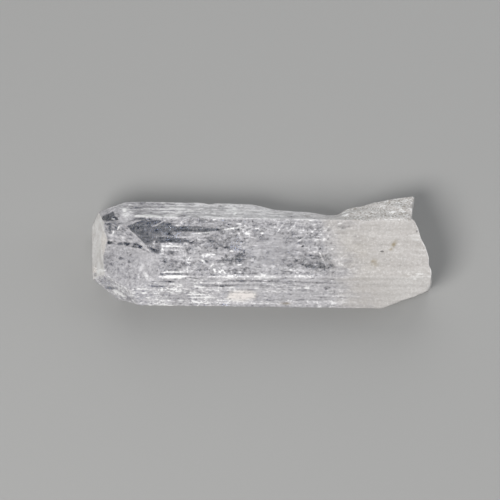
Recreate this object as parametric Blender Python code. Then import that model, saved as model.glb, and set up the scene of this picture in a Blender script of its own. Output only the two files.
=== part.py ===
"""A danburite crystal: a striated prism with a stepped termination at one end and a broken end at the other.

It lies on its flattest side. +X runs along the crystal from the termination to the broken end, +Y to the
side that a viewer sees as the back, +Z up. The origin is the middle of its resting side.
"""

import math
import random

import bmesh
import bpy
from mathutils import Vector

MM = 0.001

# Size of the crystal, and the end sections that the prism is drawn between.
LENGTH = 45.0 * MM
HALF_LENGTH = LENGTH / 2
SPARE = 1.2 * MM  # the raw prism runs this far past each end, and the ends are then cut
THICKNESS = 8.9 * MM

# The prism's six edges at the termination end and at the broken end, as (y, z).
EDGES_LEFT = {
    "base_front": (-5.10 * MM, 0.0),
    "front": (-7.20 * MM, 3.4 * MM),
    "top_front": (-5.10 * MM, 8.2 * MM),
    "top_back": (3.20 * MM, 8.85 * MM),
    "back": (7.10 * MM, 4.85 * MM),
    "base_back": (4.50 * MM, 0.0),
}
EDGES_RIGHT = {
    "base_front": (-5.40 * MM, 0.0),
    "front": (-7.88 * MM, 3.4 * MM),
    "top_front": (-5.15 * MM, 8.3 * MM),
    "top_back": (2.60 * MM, THICKNESS),
    "back": (7.10 * MM, 4.95 * MM),
    "base_back": (4.30 * MM, 0.0),
}

# The back edge in plan: straight, then a broken hollow, then a horn that stands out. As (x, y).
BACK_EDGE = [
    (-24.0 * MM, 7.12 * MM),
    (-8.0 * MM, 6.92 * MM),
    (-1.0 * MM, 6.68 * MM),
    (0.6 * MM, 6.15 * MM),
    (2.4 * MM, 5.78 * MM),
    (6.0 * MM, 5.55 * MM),
    (8.6 * MM, 5.05 * MM),
    (9.8 * MM, 4.95 * MM),
    (11.2 * MM, 5.95 * MM),
    (13.0 * MM, 6.35 * MM),
    (15.6 * MM, 7.05 * MM),
    (17.8 * MM, 7.55 * MM),
    (19.4 * MM, 7.76 * MM),
    (24.0 * MM, 7.76 * MM),
]
HORN_START = 10.2 * MM
HORN_GRAIN = 0.16 * MM

# Growth lines: each prism face is a bundle of narrow flat strips that come and go along the crystal.
STRIPS = {
    ("base_front", "front"): 5,
    ("front", "top_front"): 9,
    ("top_front", "top_back"): 11,
    ("top_back", "back"): 8,
    ("back", "base_back"): 5,
}
STRIP_DEPTH = 0.075 * MM
STATION_STEP = 1.25 * MM
LEAST_HEIGHT = 0.35  # the lowest line's height, as a share of the depth
LARGEST_SHIFT = 0.28  # how far a line may lie from its even place, as a share of a strip
LINE_LENGTHS = (9.0 * MM, 26.0 * MM)
SWELL = 0.38  # how much of a line's height comes and goes along the crystal

# Flat faces of the termination: the way each one looks, and a point that it passes through in millimetres.
TERMINATION = {
    "end": ((-1.0, 0.0, 0.0), (-22.5, 0.0, 4.0)),
    "end_slope": ((-0.94, -0.12, 0.30), (-20.95, -1.6, 4.62)),
    "front_corner": ((-0.655, -0.753, 0.05), (-20.64, -3.62, 0.0)),
    "back_corner": ((-0.78, 0.62, 0.10), (-21.77, 5.45, 3.0)),
    "back_bevel": ((-0.36, 0.87, 0.34), (-19.6, 6.64, 4.0)),
    "back_slope": ((-0.46, 0.42, 0.78), (-21.57, 3.63, 6.24)),
    "back_patch": ((-0.23, 0.47, 0.85), (-17.0, 4.42, 7.6)),
}
# Two more faces that meet in an inner corner: a riser below the top face, and the main slope in front of it.
RISER = ((-0.573, -0.608, 0.550), (-17.93, 1.95, 8.75))
MAIN_SLOPE = ((-0.463, -0.109, 0.879), (-13.7, -2.34, 8.42))

# The break across the front corner of the broken end. It leans out over its own foot.
FRONT_BREAK = ((0.345, -0.872, -0.35), (15.42, -7.86, 3.4))

# The broken end in plan, from the back to the front, as (y, x).
BROKEN_END = [
    (7.7 * MM, 20.40 * MM),
    (6.9 * MM, 20.25 * MM),
    (6.3 * MM, 20.05 * MM),
    (5.7 * MM, 19.95 * MM),
    (3.0 * MM, 19.92 * MM),
    (2.6 * MM, 20.46 * MM),
    (1.9 * MM, 20.74 * MM),
    (1.0 * MM, 20.86 * MM),
    (0.4 * MM, 21.05 * MM),
    (-0.6 * MM, 21.46 * MM),
    (-1.4 * MM, 21.88 * MM),
    (-2.2 * MM, 22.05 * MM),
    (-3.3 * MM, 22.15 * MM),
    (-4.3 * MM, 22.30 * MM),
    (-5.0 * MM, 22.45 * MM),
    (-5.6 * MM, 22.42 * MM),
    (-6.1 * MM, 22.22 * MM),
    (-6.4 * MM, 21.80 * MM),
    (-9.0 * MM, 20.90 * MM),
]
END_COLUMNS = 28
END_ROWS = 12
END_LEDGE = 0.16 * MM
END_GRAIN = 0.08 * MM
END_JITTER = 0.15 * MM  # how far a point of the break may lie from its even place
END_ACROSS = (-9.0 * MM, 9.0 * MM)
END_UP = (-1.5 * MM, 10.5 * MM)
LEDGE_TURNS = (9.0, 3.0)  # how fast a ledge comes and goes, across the end and up it, in radians

# Shell-shaped chips along the edges: centre in millimetres, radius in millimetres, squash along Z.
CHIPS = {
    "riser_chip": ((-14.35, -1.30, 8.90), 1.00, 0.75),
    "end_notch": ((-22.50, -1.55, 1.20), 0.80, 0.90),
    "back_notch": ((-6.80, 7.55, 5.00), 1.05, 1.00),
    "back_nick": ((5.90, 4.60, 7.30), 0.90, 0.80),
    "base_nick": ((-16.30, -6.90, 1.50), 0.95, 0.90),
    "hollow_scoop": ((7.60, 5.60, 8.70), 2.60, 1.00),
    "top_scoop": ((5.10, 1.60, 11.70), 3.05, 1.00),
    "horn_scoop": ((14.20, 7.60, 2.10), 1.90, 1.00),
}
CUTTER_SIDE = 60.0 * MM

CRYSTAL_COLOUR = (0.86, 0.88, 0.90, 1.0)
CRYSTAL_ROUGHNESS = 0.08
CRYSTAL_IOR = 1.63


def clear_scene():
    for existing in list(bpy.data.objects):
        bpy.data.objects.remove(existing, do_unlink=True)


def new_collection(name):
    collection = bpy.data.collections.new(name)
    bpy.context.scene.collection.children.link(collection)
    return collection


def crystal_material():
    material = bpy.data.materials.new("clear_danburite")
    material.use_nodes = True
    shader = material.node_tree.nodes["Principled BSDF"]
    shader.inputs["Base Color"].default_value = CRYSTAL_COLOUR
    shader.inputs["Roughness"].default_value = CRYSTAL_ROUGHNESS
    shader.inputs["Metallic"].default_value = 0.0
    shader.inputs["IOR"].default_value = CRYSTAL_IOR
    shader.inputs["Transmission Weight"].default_value = 1.0
    return material


def between(a, b, share):
    return a + (b - a) * share


def read_line(points, at):
    """The second value of a broken line of (first, second) points, at a first value."""
    ordered = sorted(points)
    if at <= ordered[0][0]:
        return ordered[0][1]
    for (x0, y0), (x1, y1) in zip(ordered, ordered[1:]):
        if at <= x1:
            return between(y0, y1, (at - x0) / (x1 - x0))
    return ordered[-1][1]


def edges_at(x):
    """The prism's six edges as (y, z), at a place along the crystal."""
    share = (x + HALF_LENGTH) / LENGTH
    edges = {}
    for name, (left_y, left_z) in EDGES_LEFT.items():
        right_y, right_z = EDGES_RIGHT[name]
        edges[name] = Vector((between(left_y, right_y, share), between(left_z, right_z, share)))
    edges["back"].x = read_line(BACK_EDGE, x)
    return edges


class Growth:
    """The height of each growth line at a place along the crystal, and the grain of the broken horn."""

    def __init__(self, seed):
        self.random = random.Random(seed)
        self.lines = {}
        for face, count in STRIPS.items():
            self.lines[face] = [self.new_line(index) for index in range(1, count)]

    def new_line(self, index):
        side = 1.0 if index % 2 else -1.0
        return {
            "height": side * STRIP_DEPTH * self.random.uniform(LEAST_HEIGHT, 1.0),
            "place": self.random.uniform(-LARGEST_SHIFT, LARGEST_SHIFT),
            "phase": self.random.uniform(0.0, 2 * math.pi),
            "length": self.random.uniform(*LINE_LENGTHS),
        }

    def height(self, line, x):
        """A line fades in and out, and now and then dies away."""
        wave = math.sin(2 * math.pi * x / line["length"] + line["phase"])
        return line["height"] * (1 - SWELL + SWELL * wave)

    def grain(self):
        return self.random.uniform(-HORN_GRAIN, HORN_GRAIN)


def ring_at(x, growth):
    """One ring of points around the crystal: the six edges, and the growth lines of each face."""
    edges = edges_at(x)
    names = list(EDGES_LEFT)
    ring = []
    for start, end in zip(names, names[1:]):
        a, b = edges[start], edges[end]
        outward = Vector((-(b - a).y, (b - a).x)).normalized()
        ring.append(a)
        count = STRIPS[(start, end)]
        for index, line in enumerate(growth.lines[(start, end)], start=1):
            point = a.lerp(b, (index + line["place"]) / count)
            point = point + outward * growth.height(line, x)
            if x > HORN_START and start == "top_back":
                point = point + outward * growth.grain()
            ring.append(point)
    ring.append(edges["base_back"])
    return [Vector((x, point.x, point.y)) for point in ring]


def build_prism(name, collection):
    """The raw prism, lofted through its rings and closed at both ends."""
    growth = Growth(seed=7)
    mesh = bmesh.new()
    start = -HALF_LENGTH - SPARE
    steps = math.ceil((LENGTH + 2 * SPARE) / STATION_STEP)
    rings = []
    for step in range(steps + 1):
        x = start + (LENGTH + 2 * SPARE) * step / steps
        rings.append([mesh.verts.new(point) for point in ring_at(x, growth)])
    for ring, following in zip(rings, rings[1:]):
        for index in range(len(ring)):
            after = (index + 1) % len(ring)
            mesh.faces.new((ring[index], ring[after], following[after], following[index]))
    mesh.faces.new(reversed(rings[0]))
    mesh.faces.new(rings[-1])
    bmesh.ops.recalc_face_normals(mesh, faces=mesh.faces)
    bmesh.ops.triangulate(mesh, faces=[face for face in mesh.faces if len(face.verts) == 4])
    return finish_object(mesh, name, collection)


def finish_object(mesh, name, collection):
    data = bpy.data.meshes.new(name)
    mesh.to_mesh(data)
    mesh.free()
    made = bpy.data.objects.new(name, data)
    collection.objects.link(made)
    return made


def mark_as_cutter(cutter):
    cutter.hide_render = True
    cutter.display_type = "WIRE"
    return cutter


def face_cutter(name, face, collection):
    """A large block whose lower side lies on one flat face of the crystal."""
    looks, point = face
    mesh = bmesh.new()
    bmesh.ops.create_cube(mesh, size=CUTTER_SIDE)
    bmesh.ops.translate(mesh, verts=mesh.verts, vec=(0.0, 0.0, CUTTER_SIDE / 2))
    cutter = finish_object(mesh, name, collection)
    cutter.rotation_mode = "QUATERNION"
    cutter.rotation_quaternion = Vector(looks).to_track_quat("Z", "Y")
    cutter.location = Vector(point) * MM
    return mark_as_cutter(cutter)


def chip_cutter(name, chip, collection):
    """A faceted ball, squashed upwards, that leaves a shell-shaped hollow."""
    centre, radius, squash = chip
    mesh = bmesh.new()
    bmesh.ops.create_icosphere(mesh, subdivisions=3, radius=radius * MM)
    bmesh.ops.scale(mesh, verts=mesh.verts, vec=(1.0, 1.0, squash))
    bmesh.ops.translate(mesh, verts=mesh.verts, vec=Vector(centre) * MM)
    return mark_as_cutter(finish_object(mesh, name, collection))


def broken_end_cutter(name, collection):
    """A block whose inner side is the rough broken end: ledges that run across, and a fine grain."""
    chance = random.Random(11)
    ledges = [chance.uniform(-END_LEDGE, END_LEDGE) for _ in range(END_ROWS + 1)]
    mesh = bmesh.new()
    bmesh.ops.create_grid(mesh, x_segments=END_COLUMNS, y_segments=END_ROWS, size=0.5)
    for vertex in mesh.verts:
        across, up = vertex.co.x + 0.5, vertex.co.y + 0.5
        y = between(*END_ACROSS, across) + chance.uniform(-END_JITTER, END_JITTER)
        z = between(*END_UP, up) + chance.uniform(-END_JITTER, END_JITTER)
        ledge = ledges[round(up * END_ROWS)] * math.sin(LEDGE_TURNS[0] * across + LEDGE_TURNS[1] * up)
        x = read_line(BROKEN_END, y) + ledge + chance.uniform(-END_GRAIN, END_GRAIN)
        vertex.co = Vector((x, y, z))
    rough = list(mesh.faces)
    outer = bmesh.ops.extrude_face_region(mesh, geom=rough)["geom"]
    moved = [item for item in outer if isinstance(item, bmesh.types.BMVert)]
    for vertex in moved:
        vertex.co.x = HALF_LENGTH + 4 * SPARE
    bmesh.ops.recalc_face_normals(mesh, faces=mesh.faces)
    return mark_as_cutter(finish_object(mesh, name, collection))


def cut(target, cutter, operation="DIFFERENCE"):
    boolean = target.modifiers.new(cutter.name, "BOOLEAN")
    boolean.operation = operation
    boolean.solver = "EXACT"
    boolean.object = cutter


def seat_on_origin(crystal):
    """Applies the cuts, then brings the middle of the resting side to the origin."""
    bpy.context.view_layer.update()
    evaluated = crystal.evaluated_get(bpy.context.evaluated_depsgraph_get())
    whole = bpy.data.meshes.new_from_object(evaluated)
    crystal.modifiers.clear()
    crystal.data = whole
    for axis in (0, 1):
        places = [vertex.co[axis] for vertex in whole.vertices]
        middle = (min(places) + max(places)) / 2
        for vertex in whole.vertices:
            vertex.co[axis] -= middle
    whole.shade_flat()


def main():
    clear_scene()
    parts = new_collection("danburite_crystal")
    cutters = new_collection("cutters")
    crystal = build_prism("crystal", parts)
    crystal.data.materials.append(crystal_material())
    for name, face in TERMINATION.items():
        cut(crystal, face_cutter(name, face, cutters))
    wedge = face_cutter("riser", RISER, cutters)
    cut(wedge, face_cutter("main_slope", MAIN_SLOPE, cutters), "INTERSECT")
    cut(crystal, wedge)
    cut(crystal, face_cutter("front_break", FRONT_BREAK, cutters))
    cut(crystal, broken_end_cutter("broken_end", cutters))
    for name, chip in CHIPS.items():
        cut(crystal, chip_cutter(name, chip, cutters))
    seat_on_origin(crystal)


main()
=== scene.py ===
# %% [markdown]
# This lesson dresses a natural danburite crystal: a see-through prism, finely lined along its length,
# with a stepped tip at the left and a milky, broken end at the right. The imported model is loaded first
# and gives the true outline. Everything after that is the surface, the flaws inside, the light and the
# camera.

import math
import random

import bmesh
import bpy
import numpy as np
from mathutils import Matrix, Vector
from mathutils.bvhtree import BVHTree
from mathutils.geometry import delaunay_2d_cdt
from mathutils.kdtree import KDTree


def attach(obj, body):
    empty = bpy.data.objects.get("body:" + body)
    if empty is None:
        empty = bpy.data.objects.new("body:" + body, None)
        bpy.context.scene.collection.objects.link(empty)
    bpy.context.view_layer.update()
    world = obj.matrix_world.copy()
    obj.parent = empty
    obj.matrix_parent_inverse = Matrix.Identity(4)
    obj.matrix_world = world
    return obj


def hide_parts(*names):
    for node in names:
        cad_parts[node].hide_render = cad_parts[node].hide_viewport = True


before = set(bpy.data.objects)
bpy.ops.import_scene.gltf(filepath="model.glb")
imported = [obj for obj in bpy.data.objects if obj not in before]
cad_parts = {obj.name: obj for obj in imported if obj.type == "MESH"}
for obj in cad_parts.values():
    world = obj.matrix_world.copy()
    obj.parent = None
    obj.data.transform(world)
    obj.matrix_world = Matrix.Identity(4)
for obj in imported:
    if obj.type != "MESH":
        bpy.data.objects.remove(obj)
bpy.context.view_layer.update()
MM = 0.001

# %% [markdown]
# The skin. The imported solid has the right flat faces, but its triangles are long and few, so there is
# nothing to carve fine relief into. Remeshing with voxels would round off the edges that make a crystal
# look like one. So each flat face is filled anew with small even triangles. The points along its edges
# are shared with the face next to it, so the skin stays closed, and every new point lies on a face or an
# edge of the solid.

# %% Find the flat faces
WELD = 0.0005 * MM
FLAT_ENOUGH = math.radians(0.25)


def crystal_shell():
    """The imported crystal's own surface, with its split corners joined and its flat faces whole again."""
    shell = bmesh.new()
    shell.from_mesh(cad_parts["crystal"].data)
    bmesh.ops.remove_doubles(shell, verts=shell.verts, dist=WELD)
    bmesh.ops.dissolve_limit(shell, angle_limit=FLAT_ENOUGH, verts=shell.verts, edges=shell.edges)
    shell.normal_update()
    shell.verts.index_update()
    return shell


shell = crystal_shell()
print("the packed crystal has", len(shell.faces), "flat faces and", len(shell.edges), "edges")

# %% [markdown]
# How close the new points lie. Small triangles cost time and memory, so the finest go where the camera
# sees a face well, wider ones on the other sides and the widest underneath. The camera looks down at 68
# degrees, and its direction is named here because the spacing needs it first.

# %% Points along the edges
ELEVATION = math.radians(68)
TOWARDS_CAMERA = Vector((0, -math.cos(ELEVATION), math.sin(ELEVATION)))
SPACING = 0.12 * MM
SIDE_SPACING = 0.17 * MM
UNDERSIDE_SPACING = 0.40 * MM
FACES_CAMERA = 0.45
UNDERSIDE = -0.35


def spacing_for(faces):
    """Finest on the faces that the camera sees, wider on the others and widest on those that look down."""
    if all(face.normal.z < UNDERSIDE for face in faces):
        return UNDERSIDE_SPACING
    if any(face.normal.dot(TOWARDS_CAMERA) > FACES_CAMERA for face in faces):
        return SPACING
    return SIDE_SPACING


def points_along(edge):
    """Evenly spaced points from one end of an edge to the other, without its ends."""
    start, end = edge.verts[0].co, edge.verts[1].co
    pieces = max(1, round((end - start).length / spacing_for(edge.link_faces)))
    return [start.lerp(end, step / pieces) for step in range(1, pieces)]


print("new points along the edges:", sum(len(points_along(edge)) for edge in shell.edges))

# %% [markdown]
# Filling a face. A staggered grid, like a honeycomb, gives the most even triangles. Grid points outside
# the face's outline, or too close to it, are left out, so that no triangle becomes a thin sliver.

# %% Fill a flat outline
CLEAR_OF_EDGE = 0.55
TINY = 1e-18


def inside_polygon(points, corners):
    """Which of the points lie inside a flat outline, by counting how often a ray crosses it."""
    inside = np.zeros(len(points), bool)
    x, y = points[:, 0], points[:, 1]
    for (x0, y0), (x1, y1) in zip(corners, np.roll(corners, -1, axis=0)):
        if y0 == y1:
            continue
        crosses = (y0 > y) != (y1 > y)
        at = x0 + (y - y0) * (x1 - x0) / (y1 - y0)
        inside ^= crosses & (x < at)
    return inside


def distance_to_outline(points, corners):
    """How far each point is from the nearest side of a flat outline."""
    nearest = np.full(len(points), np.inf)
    for start, end in zip(corners, np.roll(corners, -1, axis=0)):
        along = end - start
        share = ((points - start) @ along) / max(along @ along, TINY)
        foot = start + share.clip(0, 1)[:, None] * along
        nearest = np.minimum(nearest, np.hypot(*(points - foot).T))
    return nearest


def fill_points(corners, spacing):
    """A staggered grid of points inside a flat outline, clear of its sides."""
    low, high = corners.min(axis=0), corners.max(axis=0)
    row_gap = spacing * math.sqrt(3) / 2
    rows = []
    for row, y in enumerate(np.arange(low[1] + row_gap / 2, high[1], row_gap)):
        xs = np.arange(low[0] + spacing * (0.5 if row % 2 else 0.0), high[0], spacing)
        rows.append(np.column_stack([xs, np.full(len(xs), y)]))
    if not rows:
        return np.zeros((0, 2))
    points = np.concatenate(rows)
    points = points[inside_polygon(points, corners)]
    if not len(points):
        return points
    return points[distance_to_outline(points, corners) > CLEAR_OF_EDGE * spacing]


square = np.array([(0, 0), (1, 0), (1, 1), (0, 1)]) * MM
print("points in a square millimetre:", len(fill_points(square, SPACING)))

# %% [markdown]
# Joining it all. Every face's outline and filling go through a Delaunay triangulation, which picks the
# best shaped triangles between given points and keeps the outline's own sides. Points on crisp edges are
# remembered, because wear rounds them later.

# %% Points on the edges, shared by the faces
CRISP_EDGE = math.radians(12)


def add_edge_points(shell, points):
    """Adds the points along each edge. Gives their numbers by edge, and the numbers on crisp edges."""
    along_edge = {}
    crisp = set()
    for edge in shell.edges:
        start = len(points)
        points.extend(points_along(edge))
        along_edge[edge] = list(range(start, len(points)))
        if edge.calc_face_angle() > CRISP_EDGE:
            crisp.update(along_edge[edge])
            crisp.update(vertex.index for vertex in edge.verts)
    return along_edge, sorted(crisp)


def face_outline(face, along_edge):
    """The numbers of the points around a face, in order."""
    outline = []
    for loop in face.loops:
        outline.append(loop.vert.index)
        between = along_edge[loop.edge]
        outline.extend(between if loop.edge.verts[0] == loop.vert else reversed(between))
    return outline


skin_points = [vertex.co.copy() for vertex in shell.verts]
along_edge, crisp_points = add_edge_points(shell, skin_points)
print("points on crisp edges:", len(crisp_points))

# %% [markdown]
# The triangulation works on flat places, so each face is laid out on two directions of its own, across
# and up, and its new points are carried back to where the face stands in space.

# %% Refine the skin
INSIDE_ONLY = 1
MERGE_CLOSER = 1e-7


def fill_face(face, outline, points):
    """Adds points inside a face, and gives the triangles that join them to its outline."""
    across = face.normal.orthogonal().normalized()
    up = face.normal.cross(across)
    origin = points[outline[0]]
    corners = np.array([((points[i] - origin) @ across, (points[i] - origin) @ up) for i in outline])
    fill = fill_points(corners, spacing_for([face]))
    flat = [Vector(pair) / MM for pair in np.concatenate([corners, fill])]
    count = len(outline)
    sides = [(i, (i + 1) % count) for i in range(count)]
    made = delaunay_2d_cdt(flat, sides, [list(range(count))], INSIDE_ONLY, MERGE_CLOSER)
    places, faces, sources = made[0], made[2], made[3]
    known = []
    for place, source in zip(places, sources):
        if source and source[0] < count:
            known.append(outline[source[0]])
        else:
            known.append(len(points))
            points.append(origin + (across * place.x + up * place.y) * MM)
    return [[known[i] for i in triangle] for triangle in faces]


skin_triangles = []
for face in shell.faces:
    skin_triangles.extend(fill_face(face, face_outline(face, along_edge), skin_points))
skin_points, skin_triangles = np.array(skin_points), np.array(skin_triangles)
print("skin:", len(skin_points), "points,", len(skin_triangles), "triangles")

# %% [markdown]
# Every finish below has to know where it is on the crystal. Three ways of saying so are enough: the
# distance along the crystal, the distance around it, and how high up the picture a point shows, which
# mixes its depth and its height by the camera's slant. Places on the seen side are given as (along, up)
# in millimetres, up counted from the foot of the front face.

# %% Where each point is
FRONT_FOOT = -6.36
AXIS_HEIGHT = 4.4
MEAN_RADIUS = 6.0


def point_normals(points, triangles):
    """The mean direction that the skin faces at each point."""
    corners = points[triangles]
    facings = np.cross(corners[:, 1] - corners[:, 0], corners[:, 2] - corners[:, 0])
    normals = np.zeros_like(points)
    for corner in range(3):
        np.add.at(normals, triangles[:, corner], facings)
    return normals / np.linalg.norm(normals, axis=1)[:, None].clip(TINY)


normals = point_normals(skin_points, skin_triangles)
along, depth, height = skin_points.T / MM
up = (depth - FRONT_FOOT) * math.sin(ELEVATION) + height * math.cos(ELEVATION)
around = np.arctan2(height - AXIS_HEIGHT, depth) * MEAN_RADIUS
to_end, to_back, to_sky = normals.T
seen = (normals @ np.array(TOWARDS_CAMERA)).clip(0, 1)
print("picture height in millimetres:", round(up.min(), 2), "to", round(up.max(), 2))

# %% [markdown]
# Nothing in a crystal is even, so most finishes start from smooth random values. Blender's own noise
# would do, but one point at a time is slow for this many points, so a small version works on whole arrays
# at once. Scaled up along one direction and down along another, the same noise gives lines, specks or
# blotches.

# %% Smooth random values
SPREAD_X, SPREAD_Y, SPREAD_Z, SPREAD_SEED = 374761393, 668265263, 1440662683, 1274126177
STIR = 1103515245
LOW_32_BITS = 0xFFFFFFFF
LOW_16_BITS = 0xFFFF


def lattice_value(ix, iy, iz, seed):
    """One repeatable random number from 0 to 1 for each whole-number place."""
    mixed = (ix * SPREAD_X + iy * SPREAD_Y + iz * SPREAD_Z + seed * SPREAD_SEED) & LOW_32_BITS
    mixed = ((mixed ^ (mixed >> 13)) * STIR) & LOW_32_BITS
    return ((mixed ^ (mixed >> 16)) & LOW_16_BITS) / LOW_16_BITS


def smooth_noise(places, seed):
    """Smooth noise from -1 to 1 at each row of an array of places."""
    whole = np.floor(places).astype(np.int64)
    part = places - whole
    ease = part * part * (3 - 2 * part)
    total = np.zeros(len(places))
    for corner in np.ndindex(2, 2, 2):
        weight = np.ones(len(places))
        for axis, far in enumerate(corner):
            weight = weight * (ease[:, axis] if far else 1 - ease[:, axis])
        at = whole + np.array(corner)
        total += weight * lattice_value(at[:, 0], at[:, 1], at[:, 2], seed)
    return total * 2 - 1


def layered_noise(places, seed, layers=3):
    """Noise on noise: each layer is twice as fine and half as strong."""
    total = np.zeros(len(places))
    for layer in range(layers):
        total += smooth_noise(places * 2**layer, seed + 17 * layer) / 2**layer
    return total / (2 - 0.5 ** (layers - 1))


def ramp(values, low, high):
    """0 below low, 1 above high, and a smooth rise between."""
    share = ((values - low) / (high - low)).clip(0, 1)
    return share * share * (3 - 2 * share)


solid = np.column_stack([along, depth, height])
unrolled = np.column_stack([along, around, np.zeros(len(along))])
streaky = layered_noise(unrolled * (0.22, 2.4, 1.0), seed=33, layers=3)
blotchy = layered_noise(solid * (0.55, 0.9, 0.9), seed=5, layers=4)
specky = smooth_noise(solid * (2.2, 3.6, 3.6), seed=12)
print("noise from", round(float(streaky.min()), 2), "to", round(float(streaky.max()), 2))

# %% [markdown]
# Named regions. The left tip has five cut faces, the right end and the horn at the back are broken, and
# the back has a long shallow hollow. Each region is a number from 0 to 1 at every point. It is worked out
# from where the point is and which way the skin faces there, so it follows the solid's own faces. A notch
# is (its middle, its reach), in millimetres.

# %% Regions of the crystal
RISER_FACING = (-0.573, -0.608, 0.550)
NOTCHES = {
    "end": ((-22.5, -1.5, 1.2), 0.85),
    "foot": ((-16.3, -6.85, 1.5), 1.0),
    "rear": ((-6.8, 7.6, 5.0), 1.1),
    "hollow": ((5.9, 4.65, 7.3), 0.95),
    "horn": ((14.2, 7.65, 2.1), 1.95),
}
on_base = height < 0.02
on_sides = np.where(along < -10, np.abs(to_end) < 0.12, np.abs(to_end) < 0.55)
on_prism = on_sides & ~on_base
on_tip = ramp(-to_end, 0.10, 0.16) * (along < -10)
end_band = ramp(-to_end, 0.80, 0.90) * (along < -19)
front_corner = ramp(-to_end, 0.25, 0.40) * ramp(-to_back, 0.40, 0.55) * ramp(-to_sky, -0.35, -0.20)
front_corner *= along < -14
horn = ramp(along + 2.4 * blotchy, 8.8, 12.2) * ramp(to_back, 0.35, 0.6)
hollow = ramp(along + 2.0 * blotchy, -0.5, 2.0) * ramp(-along, -11.5, -10.0) * ramp(to_back, 0.35, 0.6)
rear = ramp(to_back, 0.35, 0.6) * on_prism
broken_end = ramp(to_end, 0.15, 0.4) * (along > 10)
notched = np.zeros(len(along))
for centre, reach in NOTCHES.values():
    from_centre = np.linalg.norm(solid - centre, axis=1)
    notched = np.maximum(notched, ramp(-from_centre, -reach - 0.15, -reach + 0.05))
broken = np.maximum.reduce([broken_end, horn, 0.35 * hollow, 0.8 * notched])
rootward = ramp(along + 0.25 * (up - 7.0) + 3.4 * blotchy, 6.2, 13.8)
riser = ramp(normals @ np.array(RISER_FACING), 0.93, 0.97) * (along < -10)
print("share of points that are broken:", round(float((broken > 0.3).mean()), 3))

# %% [markdown]
# Relief. The long faces of danburite carry growth lines, fine steps that run from tip to root. The tip's
# faces have shallow pits, and broken faces are rippled. A bump map alone would not bend the light inside
# the crystal, so the larger relief is carved into the skin: a few hundredths of a millimetre deep on the
# faces, and a tenth or two on the breaks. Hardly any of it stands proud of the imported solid.

# %% Carve the relief
LINE_DEPTH = 0.030
PIT_DEPTH = 0.020
RIPPLE_DEPTH = 0.110
LEDGE_DEPTH = 0.12
CHIP_GRAIN = 0.14
PROUDEST = 0.012

line_noise = layered_noise(unrolled * (0.07, 1.7, 1.0), seed=3, layers=3)
steps = np.abs((line_noise * 3.0) % 2.0 - 1.0)
pits = ramp(layered_noise(solid * 2.4, seed=8, layers=2), 0.10, 0.55)
ripples = layered_noise(solid * (1.1, 1.6, 1.6), seed=21, layers=4)
ledges = layered_noise(solid * (0.8, 0.35, 0.9), seed=29, layers=2)
relief = LINE_DEPTH * (steps - 1.0) * on_prism * (1 - horn) * (1 - notched) * (1 - 0.7 * rootward)
relief -= LEDGE_DEPTH * ramp(ledges, -0.1, 0.1) * broken_end
relief -= PIT_DEPTH * pits * on_tip
relief += RIPPLE_DEPTH * ripples * broken
relief -= CHIP_GRAIN * ramp(layered_noise(solid * 2.2, seed=37, layers=2), -0.2, 0.5) * notched
relief = np.minimum(relief, PROUDEST)
relief[on_base] = 0.0
carved = skin_points + normals * (relief * MM)[:, None]
print("relief in millimetres:", round(relief.min(), 3), "to", round(relief.max(), 3))

# %% [markdown]
# Worn edges. No edge of a real stone is a perfect line. Knocks have rounded it by a tenth of a
# millimetre, and that thin rounding is what catches the lamp as a bright line. Points near an edge are
# moved towards the middle of their neighbours, nine times over and more the closer they lie, and nicks
# make it uneven.

# %% Wear the edges
WEAR_REACH = 0.34
WEAR_ROUNDS = 9
WEAR_STRENGTH = 0.6

edge_tree = KDTree(len(crisp_points))
for index in crisp_points:
    edge_tree.insert(skin_points[index], index)
edge_tree.balance()
to_edge = np.array([edge_tree.find(point)[2] for point in skin_points]) / MM
nicks = ramp(layered_noise(solid * (0.9, 1.6, 1.6), seed=44, layers=3), -0.5, 0.6)
wear = ramp(-to_edge, -WEAR_REACH, -0.05) * (0.35 + 0.65 * nicks)
wear[on_base] = 0.0


def middle_of_neighbours(points, triangles):
    """The mean place of each point's neighbours on the skin."""
    total = np.zeros_like(points)
    shares = np.zeros(len(points))
    for corner in range(3):
        here, after = triangles[:, corner], triangles[:, (corner + 1) % 3]
        np.add.at(total, here, points[after])
        np.add.at(shares, here, 1)
    return total / shares[:, None].clip(1)


for _ in range(WEAR_ROUNDS):
    towards_middle = middle_of_neighbours(carved, skin_triangles) - carved
    carved += towards_middle * (WEAR_STRENGTH * wear)[:, None]
carved[:, 2] = np.maximum(carved[:, 2], 0.0)
print("worn points:", int((wear > 0.1).sum()))

# %% [markdown]
# Cracks inside. The real crystal is full of small cracks: thin gaps of air that mirror the light where
# they are seen at a slant. Each one here is a thin hollow lens. Its faces point into the gap, so it
# belongs to the crystal's own mesh as a bubble does, and light bends and mirrors at it as at a real
# crack.

# %% Shape one crack
chance = random.Random(5)
CRACK_SIDES = 7


def lens(centre, facing, radius, bulge, bend):
    """Points and triangles of a thin lens with a ragged rim. Its faces point inwards."""
    across = facing.orthogonal().normalized()
    up_axis = facing.cross(across)
    turn = chance.uniform(0, 2 * math.pi)
    stretch = chance.uniform(0.5, 1.0)
    rim = []
    for side in range(CRACK_SIDES):
        angle = turn + 2 * math.pi * side / CRACK_SIDES
        reach = radius * chance.uniform(0.7, 1.0)
        offset = across * (math.cos(angle) * reach) + up_axis * (math.sin(angle) * reach * stretch)
        rim.append(centre + offset + facing * (bend * math.cos(2 * angle) * radius))
    places = rim + [centre + facing * bulge, centre - facing * bulge]
    above, below = CRACK_SIDES, CRACK_SIDES + 1
    faces = []
    for side in range(CRACK_SIDES):
        after = (side + 1) % CRACK_SIDES
        faces.append((after, side, above))
        faces.append((side, after, below))
    return places, faces


print("a crack has", CRACK_SIDES + 2, "points and", 2 * CRACK_SIDES, "triangles")

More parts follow.
